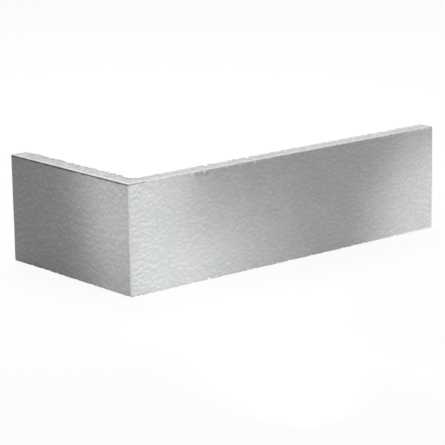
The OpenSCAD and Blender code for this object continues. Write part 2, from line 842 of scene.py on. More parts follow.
@dataclass(frozen=True)
class ReliefSizes:
    """How deep the making and handling of the slip went into it, in metres."""

    wave: Patches = Patches(34.0 * MM, 2.0, 0.5, 0.3, 0.75)
    wave_depth: float = 0.16 * MM
    dent_density: float = 700.0
    dent_reach: float = 3.2 * MM
    dent_depth: float = 0.13 * MM
    chip_density: float = 90000.0
    chip_reach: float = 1.5 * MM
    chip_depth: float = 0.85 * MM
    chip_worn: Pair = (0.15, 0.6)
    edge_share: float = 0.9
    upper_share: float = 0.06
    upper_chip: float = 0.5
    coated_share: float = 0.6
    rim_start: float = 0.02 * MM
    rim_short: float = 0.3 * MM
    rim_long: float = 0.95 * MM
    rim_run: float = 40.0 * MM
    rim_far: float = 1.8 * MM
    far_span: Pair = (168.0 * MM, 205.0 * MM)
    drag: Patches = Patches(1.6 * MM, 3.0, 0.6, 0.35, 0.75)
    drag_depth: float = 0.22 * MM
    drag_stretch: tuple[float, float, float] = (1.0, 0.25, 1.0)
    bed_slope: Pair = (0.6, 0.9)
    tear: Patches = Patches(1.1 * MM, 3.0, 0.6, 0.36, 0.66)
    tear_depth: float = 0.36 * MM
    tear_reach: float = 3.0 * MM
    torn_span: Pair = (0.45, 1.05)
    smear: Patches = Patches(4.5 * MM, 2.0, 0.6, 0.34, 0.56)
    smear_least: float = 0.15
    smear_share: float = 0.88
    smear_reach: float = 1.7 * MM
    smear_fade: float = 6.0 * MM
    lip: Patches = Patches(2.3 * MM, 3.0, 0.7, 0.36, 0.64)
    lip_reach: float = 1.1 * MM
    lip_root: float = 3.5 * MM
    lip_short: Pair = (0.0, 2.1 * MM)
    lip_long: Pair = (-0.1 * MM, 1.1 * MM)
    seed: int = 7


class Relief(Tree):
    """Presses waves, dents and chips into the coated faces, and drags and tears the cut clay."""

    title: ClassVar[str] = "Fired relief"

    def __init__(self, sizes: SlipSizes, relief: ReliefSizes, coat: bpy.types.Material,
                 clay: bpy.types.Material) -> None:
        """Builds the tree.

        Args:
            sizes: The slip's own sizes.
            relief: The depths and densities of the marks.
            coat: The finish of the two faces.
            clay: The finish of the beds, ends and back.
        """
        super().__init__()
        c = self.canvas
        self.sizes = sizes
        self.relief = relief
        self.height = self.takes("Slip Height", sizes.height)
        self.seed = self.takes("Seed", relief.seed)
        self.spot = c.out("GeometryNodeInputPosition")
        self.normal = c.out("GeometryNodeInputNormal")
        self.x, self.y, self.z = c.split(self.spot)
        self.to_bed = c.math("MINIMUM", self.z, self.height - self.z)
        self.coat = self.attribute("coat")
        self.face = c.math("GREATER_THAN", self.coat, FULL_COAT)
        chips, chipped = self.chips()
        pressed = (self.waves() + self.dents()) * self.face + chipped
        offset = c.vector("ADD", c.scaled(self.normal, pressed * -1.0), c.xyz(z=self.sunk()))
        offset = c.vector("ADD", offset, self.smear())
        moved = self.move(self.store(self.mesh, "bare", self.bare(chips)), "Offset", offset)
        real = c.out("GeometryNodeRealizeInstances", {0: moved})
        inputs = {"Geometry": real, "Material": self.takes("Raw Clay", clay)}
        dressed = c.out("GeometryNodeSetMaterial", inputs)
        keeps_coat = c.math("GREATER_THAN", self.coat, relief.coated_share)
        inputs = {"Geometry": dressed, "Selection": keeps_coat, "Material": self.takes("Coated Face", coat)}
        c.feed(self.exit[0], c.out("GeometryNodeSetMaterial", inputs))

    def waves(self) -> Wire:
        """Makes the long soft waves of an extruded face.

        Returns:
            How far they lie back.
        """
        wave = self.relief.wave
        depth = self.takes("Wave Depth", self.relief.wave_depth)
        return self.canvas.patches(self.spot, wave, size=self.takes("Wave Size", wave.size)) * depth

    def dents(self) -> Wire:
        """Makes the shallow dents of the faces.

        Returns:
            How far they lie back.
        """
        r = self.relief
        depth = self.takes("Dent Depth", r.dent_depth)
        return self.scatter("Dent", self.face, r.dent_density, r.dent_reach, 1) * depth

    def chips(self) -> tuple[Wire, Wire]:
        """Chips the faces' edges: thickly along the foot, and here and there along the top of the long face.

        Returns:
            How strongly each point is chipped, from 0 to 1, and how far it moves in.
        """
        c, r, s = self.canvas, self.relief, self.sizes
        edge = self.face * c.math("LESS_THAN", self.to_bed, s.arris_radius * r.edge_share)
        at_foot = c.math("LESS_THAN", self.z, self.height * 0.5)
        on_long = c.math("GREATER_THAN", self.x, s.low.x + 2 * s.arris_radius)
        share = c.lerp(at_foot, on_long * r.upper_share, 1.0)
        chips = self.scatter("Chip", edge, r.chip_density, r.chip_reach, 2, share) * self.face
        depth = self.takes("Chip Depth", r.chip_depth) * c.lerp(at_foot, r.upper_chip, 1.0)
        return chips, chips * depth

    def scatter(self, name: str, where: Wire, density: float, reach: float, salt: int,
                thinned: object = 1.0) -> Wire:
        """Scatters marks over a surface.

        Args:
            name: What the marks' inputs are called after.
            where: Which faces of the body may be marked.
            density: How many marks there are on a square metre.
            reach: How far a mark reaches.
            salt: What sets this scatter's seed apart.
            thinned: The share of the marks that stays, from place to place.

        Returns:
            How strongly each point is marked, from 0 to 1.
        """
        c = self.canvas
        thick = self.takes(f"{name} Density", density) * thinned
        wide = self.takes(f"{name} Reach", reach)
        inputs = {"Mesh": self.mesh, "Selection": where, "Density": thick, "Seed": self.seed + float(salt)}
        points = c.out("GeometryNodeDistributePointsOnFaces", inputs)
        away = c.out("GeometryNodeProximity", {0: points}, which="Distance", target_element="POINTS")
        return c.ramp(away, 0.0, wide, 1.0, 0.0)

    def bare(self, chips: Wire) -> Wire:
        """Works out where the coat is missing: off the faces, in a rim along both beds, and in the chips.

        Args:
            chips: How strongly each point is chipped.

        Returns:
            How bare each point is, from 0 to 1.
        """
        c, r = self.canvas, self.relief
        corner = self.sizes.low.x
        width = c.ramp(self.x, corner + self.sizes.corner_radius, corner + r.rim_run, r.rim_short, r.rim_long)
        far = c.ramp(self.x, *(corner + place for place in r.far_span))
        rim = c.ramp(self.to_bed, r.rim_start, c.lerp(far, width, r.rim_far), 1.0, 0.0)
        bare = c.math("MAXIMUM", 1.0 - self.coat, rim)
        return c.math("MAXIMUM", bare, c.ramp(chips, *r.chip_worn), clamp=True)

    def smear(self) -> Wire:
        """Drags clay out over the upper back edge and the grooves' ends, as a cutting wire does, unevenly.

        Returns:
            How a point moves.
        """
        c, r, s = self.canvas, self.relief, self.sizes
        smear_size, lip_size = self.takes("Smear Size", r.smear.size), self.takes("Lip Size", r.lip.size)
        share = self.takes("Smear Share", r.smear_share)
        near_top = c.ramp(self.z, self.height - self.takes("Smear Reach", r.smear_reach), self.height)
        at_top = c.ramp(self.z, self.height - self.takes("Lip Reach", r.lip_reach), self.height)
        depth = s.groove_depth

        def leg(along: Wire, over: Wire, back: Pair, lip: Pair, salt: float) -> Wire:
            """Works it out on one leg.

            Args:
                along: The place along the leg.
                over: The place across it.
                back: Where the leg's back starts, and how far across it lies.
                lip: How far the lip stands out at least and at most.
                salt: What sets this leg's patches apart.

            Returns:
                How far a point moves out from the back.
            """
            start = back[0] + s.cove_radius
            inset = back[1] - over
            uneven = c.xyz(along, salt)
            drawn = c.math("MAXIMUM", c.math("MINIMUM", inset, depth), 0.0)
            drawn = drawn * c.ramp(inset, depth, depth + r.smear_fade, 1.0, 0.0)
            moved = drawn * c.patches(uneven, r.smear, r.smear_least, share, smear_size) * near_top
            root = c.ramp(inset, depth, depth + r.lip_root, 1.0, 0.0)
            out = c.patches(uneven, r.lip, *lip, lip_size) * root
            on_leg = c.ramp(along, start, start + s.end_land) * c.ramp(inset, -depth, 0.0)
            return (moved + out * at_top) * on_leg

        x0, y0 = s.inner
        on_long = leg(self.x, self.y, (x0, y0), r.lip_long, 0.0)
        return c.xyz(leg(self.y, self.x, (y0, x0), r.lip_short, 1.0), on_long)

    def sunk(self) -> Wire:
        """Works out how far the cut clay lies below the bed plane: wire drag all over, tears at the back rim.

        Returns:
            How far a point moves along Z, down at the upper bed and up at the lower one.
        """
        c, r = self.canvas, self.relief
        slope = c.math("ABSOLUTE", c.split(self.normal)[2])
        streaked = c.vector("MULTIPLY", self.spot, r.drag_stretch)
        drag = c.patches(streaked, r.drag, 0.0, self.takes("Drag Depth", r.drag_depth))
        drag = drag * c.ramp(slope, *r.bed_slope) * (1.0 - self.coat)
        size = self.takes("Tear Size", r.tear.size)
        torn = c.patches(self.spot, r.tear, 0.0, self.takes("Tear Depth", r.tear_depth), size)
        torn = torn * c.ramp(self.attribute("across"), *r.torn_span)
        torn = torn * c.ramp(self.to_bed, 0.0, self.takes("Tear Reach", r.tear_reach), 1.0, 0.0, "LINEAR")
        way = c.lerp(c.math("GREATER_THAN", self.z, self.height * 0.5), 1.0, -1.0)
        return (drag + torn) * way


class Group:
    """A shader node group with named inputs and outputs, built once and shared by the finishes."""

    def __init__(self, title: str, inputs: dict[str, object], outputs: dict[str, str]) -> None:
        """Makes the group and its sockets.

        Args:
            title: What the group is called.
            inputs: Each input's name and plain value: a number, a colour or a vector.
            outputs: Each output's name and kind, Float or Color.
        """
        self.tree = bpy.data.node_groups.new(title, "ShaderNodeTree")
        self.canvas = Canvas(self.tree)
        for name, value in inputs.items():
            kind = "Float" if isinstance(value, float) else ("Color" if len(value) == 4 else "Vector")
            item = self.tree.interface.new_socket(name, in_out="INPUT", socket_type=f"NodeSocket{kind}")
            item.default_value = value
        for name, kind in outputs.items():
            self.tree.interface.new_socket(name, in_out="OUTPUT", socket_type=f"NodeSocket{kind}")
        self.entry = self.canvas.add("NodeGroupInput").outputs
        self.exit = self.canvas.add("NodeGroupOutput").inputs

    def takes(self, *names: str) -> list[Wire]:
        """Gives the inputs of these names."""
        return [Wire(self.canvas, self.entry[name]) for name in names]

    def gives(self, name: str, value: Wire) -> None:
        """Puts a value out under a name."""
        self.canvas.feed(self.exit[name], value)

    def place(self, canvas: Canvas, inputs: Inputs) -> dict[str, Wire]:
        """Puts the group into a material and gives its outputs there, by name."""
        node = canvas.add("ShaderNodeGroup", inputs, node_tree=self.tree)
        return {socket.name: Wire(canvas, socket) for socket in node.outputs}


@dataclass(frozen=True)
class ClayGrain:
    """The orange-peel grain, in millimetres: rounded humps with finer tooth on them, and light and shade
    painted on the humps.
    """

    stretch: tuple[float, float, float] = (0.62, 0.62, 1.0)
    hump_size: float = 1.8
    tooth_size: float = 0.8
    tooth_share: float = 0.4
    lift: float = 0.9
    layers: float = 2.0
    hump_rough: float = 0.5
    tooth_rough: float = 0.6
    mask_span: Pair = (0.78, 1.22)
    painted_relief_span: Pair = (-0.16, 0.16)

    def build(self) -> Group:
        """Makes the group.

        Returns:
            The group, with Height, Mask and the painted relief light from 0 to 1: a painted highlight on the
            upper side of each hump, painted shade on its lower side.
        """
        inputs = {
            "Vector": (0.0, 0.0, 0.0),
            "Stretch": self.stretch,
            "Hump Size": self.hump_size,
            "Tooth Size": self.tooth_size,
            "Tooth Share": self.tooth_share,
            "Lift": self.lift,
        }
        group = Group("Clay grain", inputs, {"Height": "Float", "Mask": "Float", "Painted Relief Light": "Float"})
        c = group.canvas
        spot, stretch, hump_size, tooth_size, tooth_share, lift = group.takes(*inputs)
        drawn = c.vector("MULTIPLY", spot, stretch)
        humps = c.noise(drawn, hump_size, self.layers, self.hump_rough)
        tooth = c.noise(drawn, tooth_size, self.layers, self.tooth_rough)
        # Reads the humps a little higher up: their difference paints a highlight on each hump's upper side
        # and shade below it.
        above = c.noise(c.vector("ADD", drawn, c.xyz(z=lift)), hump_size, self.layers, self.hump_rough)
        group.gives("Height", c.lerp(tooth_share, humps, tooth))
        group.gives("Mask", c.ramp(humps + tooth, *self.mask_span))
        group.gives("Painted Relief Light", c.ramp(humps - above, *self.painted_relief_span, kind="LINEAR"))
        return group


@dataclass(frozen=True)
class BareClay:
    """The look of bare fired clay, in millimetres: a pale mottled body, darker grog and open pores."""

    cloud: Patches = Patches(7.0, 4.0, 0.6, 0.35, 0.68)
    mottle: Patches = Patches(2.6, 4.0, 0.65, 0.4, 0.6)
    mottle_stretch: tuple[float, float, float] = (1.0, 1.0, 0.6)
    mottle_share: float = 0.6
    grit_size: float = 0.9
    grit_layers: float = 3.0
    grit_rough: float = 0.65
    grog_scale: float = 0.55
    grog_span: Pair = (0.16, 0.3)
    grog_broken: Pair = (0.4, 0.6)
    grog_dark: float = 0.7
    grog_sunk: float = 0.5
    pore_scale: float = 0.17
    pore_span: Pair = (0.1, 0.2)
    pore_dark: float = 0.75
    rough_from: Pair = (0.3, 0.7)
    rough_to: Pair = (0.82, 0.96)

    def build(self) -> Group:
        """Makes the group.

        Returns:
            The group, with Color, Roughness and Height.
        """
        inputs = {
            "Vector": (0.0, 0.0, 0.0),
            "Pale": (0.6, 0.6, 0.58, 1.0),
            "Deep": (0.4, 0.4, 0.39, 1.0),
            "Grog": (0.25, 0.24, 0.23, 1.0),
        }
        group = Group("Raw clay", inputs, {"Color": "Color", "Roughness": "Float", "Height": "Float"})
        c = group.canvas
        spot, pale, deep, dark = group.takes(*inputs)
        grit = c.noise(spot, self.grit_size, self.grit_layers, self.grit_rough)
        grog = c.ramp(c.cells(spot, self.grog_scale), *self.grog_span, 1.0, 0.0)
        grog = grog * c.ramp(grit, *self.grog_broken)
        pores = c.ramp(c.cells(spot, self.pore_scale), *self.pore_span, self.pore_dark, 0.0)
        mottle = c.patches(c.vector("MULTIPLY", spot, self.mottle_stretch), self.mottle)
        tone = c.blend(c.lerp(self.mottle_share, c.patches(spot, self.cloud), mottle), pale, deep)
        group.gives("Color", c.blend(c.math("MAXIMUM", grog * self.grog_dark, pores), tone, dark))
        group.gives("Roughness", c.ramp(grit, *self.rough_from, *self.rough_to))
        group.gives("Height", grit - grog * self.grog_sunk)
        return group


@dataclass(frozen=True)
class RaggedEdge:
    """A crisp, ragged edge made from an attribute that fades softly."""

    layers: float = 3.0
    rough: float = 0.65
    edge_span: Pair = (0.42, 0.58)

    def build(self) -> Group:
        """Makes the group.

        Returns:
            The group, with Mask from 0 to 1.
        """
        inputs = {"Amount": 0.0, "Vector": (0.0, 0.0, 0.0), "Size": 1.2, "Raggedness": 0.5}
        group = Group("Ragged edge", inputs, {"Mask": "Float"})
        c = group.canvas
        amount, spot, size, raggedness = group.takes(*inputs)
        noise = c.noise(spot, size, self.layers, self.rough) - 0.5
        group.gives("Mask", c.ramp(amount + noise * raggedness, *self.edge_span))
        return group


@dataclass(frozen=True)
class PressedCrescent:
    """One crescent that a finger or a batten pressed into the soft face: a raised lip over a dip, with a
    painted highlight on the lip and painted shade in the dip.
    """

    wobble_size: float = 1.6
    wobble_layers: float = 1.0
    wobble_rough: float = 0.5
    wobble_reach: float = 1.4
    flatness: tuple[float, float, float] = (1.0, 1.0, 1.4)
    lip_width: float = 0.3
    dip_place: float = 0.66
    dip_width: float = 0.28
    upper_span: Pair = (-0.05, 0.3)

    def build(self) -> Group:
        """Makes the group.

        Returns:
            The group, with Height from 0 to 1 and Shade from -1 to 1: painted shade in the dip below the lip,
            a painted highlight on the lip.
        """
        inputs = {"Vector": (0.0, 0.0, 0.0), "Centre": (0.0, 0.0, 0.0), "Reach": 4.0}
        group = Group("Pressed crescent", inputs, {"Height": "Float", "Shade": "Float"})
        c = group.canvas
        spot, centre, reach = group.takes(*inputs)
        away = c.vector("SUBTRACT", spot, centre)
        noise = c.noise(spot, self.wobble_size, self.wobble_layers, self.wobble_rough)
        wobble = (noise - 0.5) * self.wobble_reach
        flat = c.vector("MULTIPLY", away, self.flatness)
        far = (c.out("ShaderNodeVectorMath", {0: flat}, which="Value", operation="LENGTH") + wobble) / reach
        lip = c.ramp(c.math("ABSOLUTE", far - 1.0), 0.0, self.lip_width, 1.0, 0.0)
        dip = c.ramp(c.math("ABSOLUTE", far - self.dip_place), 0.0, self.dip_width, 1.0, 0.0)
        upper = c.ramp(c.split(away)[2] / reach, *self.upper_span)
        group.gives("Height", lip * upper)
        # Painted highlight on the lip, painted shade in the dip below it.
        group.gives("Shade", (lip - dip) * upper)
        return group


@dataclass(frozen=True)
class ClayEffects:
    """The effects that both finishes are mixed from."""

    grain: Group
    raw: Group
    ragged: Group
    crescent: Group

    @classmethod
    def build(cls) -> "ClayEffects":
        """Builds the groups once."""
        return cls(ClayGrain().build(), BareClay().build(), RaggedEdge().build(), PressedCrescent().build())


@dataclass(frozen=True)
class Finish:
    """What the two finishes share: the effects, and how a material starts and ends."""

    title: ClassVar[str]
    effects: ClayEffects
    bump: float
    bump_strength: float

    def start(self) -> tuple[bpy.types.Material, Canvas, bpy.types.Node, Wire]:
        """Starts the material.

        Returns:
            The material, its canvas, its shader and the place on the piece in millimetres.
        """
        material, canvas, shader = new_material(self.title)
        spot = canvas.out("ShaderNodeTexCoord", which="Object")
        place = canvas.out("ShaderNodeMapping", {"Vector": spot, "Scale": (1 / MM, 1 / MM, 1 / MM)})
        return material, canvas, shader, place

    def edge(self, canvas: Canvas, amount: Wire, place: Wire, look: Pair) -> Wire:
        """Makes a ragged edge of an amount; the look is the size of its tatters and how ragged they are."""
        inputs = {"Amount": amount, "Vector": place, "Size": look[0], "Raggedness": look[1]}
        return self.effects.ragged.place(canvas, inputs)["Mask"]

    def dress(self, canvas: Canvas, shader: bpy.types.Node, colour: Wire, rough: Wire, height: Wire) -> None:
        """Feeds the material's shader.

        Args:
            canvas: The material's canvas.
            shader: Its shader.
            colour: The base colour.
            rough: The roughness.
            height: The height of the finest relief.
        """
        inputs = {"Height": height, "Distance": self.bump * MM, "Strength": self.bump_strength}
        canvas.feed(shader.inputs["Base Color"], colour)
        canvas.feed(shader.inputs["Roughness"], rough)
        canvas.feed(shader.inputs["Normal"], canvas.out("ShaderNodeBump", inputs))


@dataclass(frozen=True)
class RawClay(Finish):
    """The cut beds, the ends and the keyed back: matt, pale and gritty."""

    title: ClassVar[str] = "raw_clay"
    pale: Colour = (0.7, 0.7, 0.684)
    deep: Colour = (0.43, 0.43, 0.421)
    grog: Colour = (0.3, 0.295, 0.285)
    milk: Colour = (0.78, 0.78, 0.765)
    hump_size: float = 1.6
    tooth_size: float = 0.5
    back_dark_span: Pair = (0.55, 1.05)
    back_dark_share: float = 0.1
    paler_span: Pair = (-112.0, -85.0)
    paler_share: float = 0.15
    outer_span: Pair = (0.12, 0.5)
    outer_share: float = 0.3
    far_span: Pair = (40.0, 80.0)
    far_share: float = 0.6
    frayed_span: Pair = (0.8, 1.03)
    frayed_share: float = 0.75
    frayed_look: Pair = (1.5, 2.0)
    frayed_depth: float = 0.36
    milky_width: float = 0.62
    milky_look: Pair = (2.6, 1.1)
    milky_share: float = 0.7
    bump: float = 0.16
    bump_strength: float = 0.9

    def clay(self, canvas: Canvas, place: Wire) -> dict[str, Wire]:
        """Puts this clay's own tones into a material."""
        inputs = {"Vector": place, "Pale": rgba(self.pale), "Deep": rgba(self.deep), "Grog": rgba(self.grog)}
        return self.effects.raw.place(canvas, inputs)

    def material(self) -> bpy.types.Material:
        """Builds the material.

        Returns:
            The material.
        """
        material, c, shader, place = self.start()
        raw = self.clay(c, place)
        sizes = {"Vector": place, "Hump Size": self.hump_size, "Tooth Size": self.tooth_size}
        grain = self.effects.grain.place(c, sizes)
        across = c.kept("across")
        along = c.split(place)[0]
        # Darker towards the back of the beds, and on the keyed back.
        back_dark = c.ramp(across, *self.back_dark_span, 0.0, self.back_dark_share)
        tone = c.blend(back_dark, raw["Color"], rgba(self.deep))
        # Darker in ragged specks along the back edge.
        fringe = c.ramp(across, *self.frayed_span, 0.0, self.frayed_share)
        frayed = self.edge(c, fringe, place, self.frayed_look)
        tone = c.blend(frayed * self.frayed_depth, tone, rgba(self.grog))
        outer = c.ramp(c.math("ABSOLUTE", across - 0.5), *self.outer_span)
        outer = outer * c.ramp(along, *self.far_span, self.outer_share, self.far_share)
        tone = c.blend(c.ramp(along, *self.paler_span) * (outer + self.paler_share), tone, rgba(self.milk))
        near_face = c.ramp(across, self.milky_width, 0.0, 0.0, 1.0, "LINEAR")
        milky = self.edge(c, near_face, place, self.milky_look) * self.milky_share
        colour = c.blend(milky, tone, rgba(self.milk))
        self.dress(c, shader, colour, raw["Roughness"], raw["Height"] + grain["Height"])
        return material


@dataclass(frozen=True)
class SatinCoat(Finish):
    """The grey mineral coat of the two faces, worn through to the clay at chips and cut edges."""

    title: ClassVar[str] = "satin_coat"
    clay: RawClay | None = None
    crescents: tuple[tuple[Vector, float], ...] = ()
    tone: Colour = (0.44, 0.453, 0.446)
    cloud: Colour = (0.405, 0.418, 0.411)
    # Dark specks of the grain, and also the painted shade below the humps and the crescents' lips, and the
    # darker rounded corner.
    speck_and_shade: Colour = (0.29, 0.3, 0.295)
    # Nearly black: the painted shadow in the dents below the chips, and the darker top edge.
    rim: Colour = (0.055, 0.06, 0.058)
    # Painted highlight on the upper sides of the humps and on the crescents' lips.
    painted_highlight: Colour = (0.53, 0.545, 0.54)
    cloudy: Patches = Patches(22.0, 3.0, 0.5, 0.35, 0.7)
    speck_share: float = 0.3
    turn_span: Pair = (-119.4, -118.6)
    drawn: float = 0.62
    short_grain: float = 0.78
    long_grain: float = 0.92
    # How strongly the crescents' painted highlight and shade show, and how high their lips stand.
    crescent_shade: float = 0.8
    crescent_height: float = 0.3
    # How strongly the painted highlight and shade show: in patches, and weaker along the long face than on
    # the short face.
    strong: Patches = Patches(7.0, 2.0, 0.6, 0.36, 0.62)
    strong_least: float = 0.55
    calm_span: Pair = (-119.0, -95.0)
    calm_share: float = 0.68
    # The painted highlight and painted shade taken from the grain's painted light.
    painted_highlight_span: Pair = (0.5, 1.1)
    painted_highlight_share: float = 0.84
    painted_shade_span: Pair = (0.5, -0.1)
    painted_shade_share: float = 0.52
    # How much darker the rounded outer corner is.
    corner_arc_darkening: float = 0.15
    worn_look: Pair = (1.2, 0.5)
    rim_look: Pair = (2.2, 1.1)
    # Patches in which the top edge is darker.
    dark_edge_patches: Patches = Patches(6.0, 2.0, 0.5, 0.3, 0.6)
    dark_edge_least: float = 0.62
    satin: Pair = (0.52, 0.76)
    bump: float = 0.24
    bump_strength: float = 1.0

    def add_crescent_light_and_lips(self, c: Canvas, place: Wire, painted_relief_light: Wire) -> tuple[Wire, Wire | float]:
        """Adds the pressed crescents' painted highlight and painted shade to the painted light of the grain.

        Args:
            c: The material's canvas.
            place: Where they are read.
            painted_relief_light: The painted highlight and shade on the grain's humps.

        Returns:
            The painted light with the crescents' added, and the height of the crescents' lips.
        """
        lips = 0.0
        for centre, reach in self.crescents:
            inputs = {"Vector": place, "Centre": centre / MM, "Reach": reach / MM}
            pressed = self.effects.crescent.place(c, inputs)
            painted_relief_light = painted_relief_light + pressed["Shade"] * self.crescent_shade
            lips = lips + pressed["Height"] * self.crescent_height
        return painted_relief_light, lips

    def material(self) -> bpy.types.Material:
        """Builds the material.

        Returns:
            The material.
        """
        material, c, shader, place = self.start()
        raw = self.clay.clay(c, place)
        along = c.split(place)[0]
        tall = c.ramp(along, *self.turn_span, self.short_grain, self.long_grain)
        grain = self.effects.grain.place(c, {"Vector": place, "Stretch": c.xyz(self.drawn, self.drawn, tall)})
        bare = self.edge(c, c.kept("bare"), place, self.worn_look)
        speck_and_shade, rim = rgba(self.speck_and_shade), rgba(self.rim)
        tone = c.blend(c.patches(place, self.cloudy), rgba(self.tone), rgba(self.cloud))
        tone = c.blend(grain["Mask"] * self.speck_share, tone, speck_and_shade)
        painted_relief_light, lips = self.add_crescent_light_and_lips(c, place, grain["Painted Relief Light"])
        strong = c.patches(place, self.strong, self.strong_least)
        strong = strong * c.ramp(along, *self.calm_span, 1.0, self.calm_share)
        # Painted highlight on the upper sides of the humps and the crescents' lips, painted shade below them.
        lit = c.ramp(painted_relief_light, *self.painted_highlight_span, 0.0, self.painted_highlight_share, "LINEAR") * strong
        painted_shade = c.ramp(painted_relief_light, *self.painted_shade_span, 0.0, self.painted_shade_share, "LINEAR") * strong
        tone = c.blend(painted_shade, c.blend(lit, tone, rgba(self.painted_highlight)), speck_and_shade)
        # Darker on the rounded outer corner.
        tone = c.blend(c.kept("corner_arc") * self.corner_arc_darkening, tone, speck_and_shade)
        # Painted shadow in the dents below the chips on the long face's top edge.
        tone = c.blend(c.kept("shade"), tone, rim)
        # Darker along the top edge of the short face and of the long face near the corner, in patches.
        edge = self.edge(c, c.kept("rim"), place, self.rim_look)
        tone = c.blend(edge * c.patches(place, self.dark_edge_patches, self.dark_edge_least), tone, rim)
        rough = c.lerp(bare, c.lerp(grain["Height"], *self.satin), raw["Roughness"])
        height = c.lerp(bare, grain["Height"] + lips, raw["Height"])
        self.dress(c, shader, c.blend(bare, tone, raw["Color"]), rough, height)
        return material


class Form(Enum):
    """The forms of a single mark that the photograph shows."""

    DENT = "dent"
    CRESCENT = "crescent"
    CHIP = "chip"


class Side(Enum):
    """The two faces of the slip, each with the number of the axis that it runs along."""

    LONG = 0
    SHORT = 1


@dataclass(frozen=True)
class Mark:
    """One mark on a face: its distance from the outer corner, height, reach, depth and how strong the painted
    shadow in it is.
    """

    form: Form
    side: Side
    along: float
    tall: float
    reach: float
    depth: float
    shade: float

    @classmethod
    def mm(cls, form: Form, side: Side, along: float, tall: float, reach: float, depth: float = 0.0,
           shade: float = 0.0) -> "Mark":
        """Makes a mark from sizes in millimetres."""
        return cls(form, side, along * MM, tall * MM, reach * MM, depth * MM, shade)


MARKS = (
    Mark.mm(Form.CRESCENT, Side.SHORT, 21.0, 13.5, 4.6),
    Mark.mm(Form.CRESCENT, Side.SHORT, 64.0, 18.0, 3.2),
    Mark.mm(Form.CRESCENT, Side.LONG, 11.5, 55.0, 2.2),
    Mark.mm(Form.DENT, Side.SHORT, 13.0, 22.0, 5.0, 0.16),
    Mark.mm(Form.DENT, Side.LONG, 196.0, 46.0, 3.2, 0.18),
    # These three dents below the chips carry painted shadow.
    Mark.mm(Form.DENT, Side.LONG, 49.0, 63.4, 2.4, 0.2, 0.28),
    Mark.mm(Form.DENT, Side.LONG, 52.5, 63.2, 2.2, 0.2, 0.28),
    Mark.mm(Form.DENT, Side.LONG, 56.5, 62.9, 1.9, 0.15, 0.34),
    Mark.mm(Form.CHIP, Side.LONG, 45.5, 66.0, 2.7, 0.45),
    Mark.mm(Form.CHIP, Side.LONG, 55.0, 65.0, 2.3, 0.5),
    Mark.mm(Form.CHIP, Side.LONG, 71.5, 66.0, 2.8, 0.45),
    Mark.mm(Form.CHIP, Side.LONG, 81.5, 66.2, 3.0, 0.45),
    Mark.mm(Form.CHIP, Side.LONG, 92.5, 66.2, 3.2, 0.5),
    Mark.mm(Form.CHIP, Side.LONG, 97.5, 66.2, 2.8, 0.4),
)


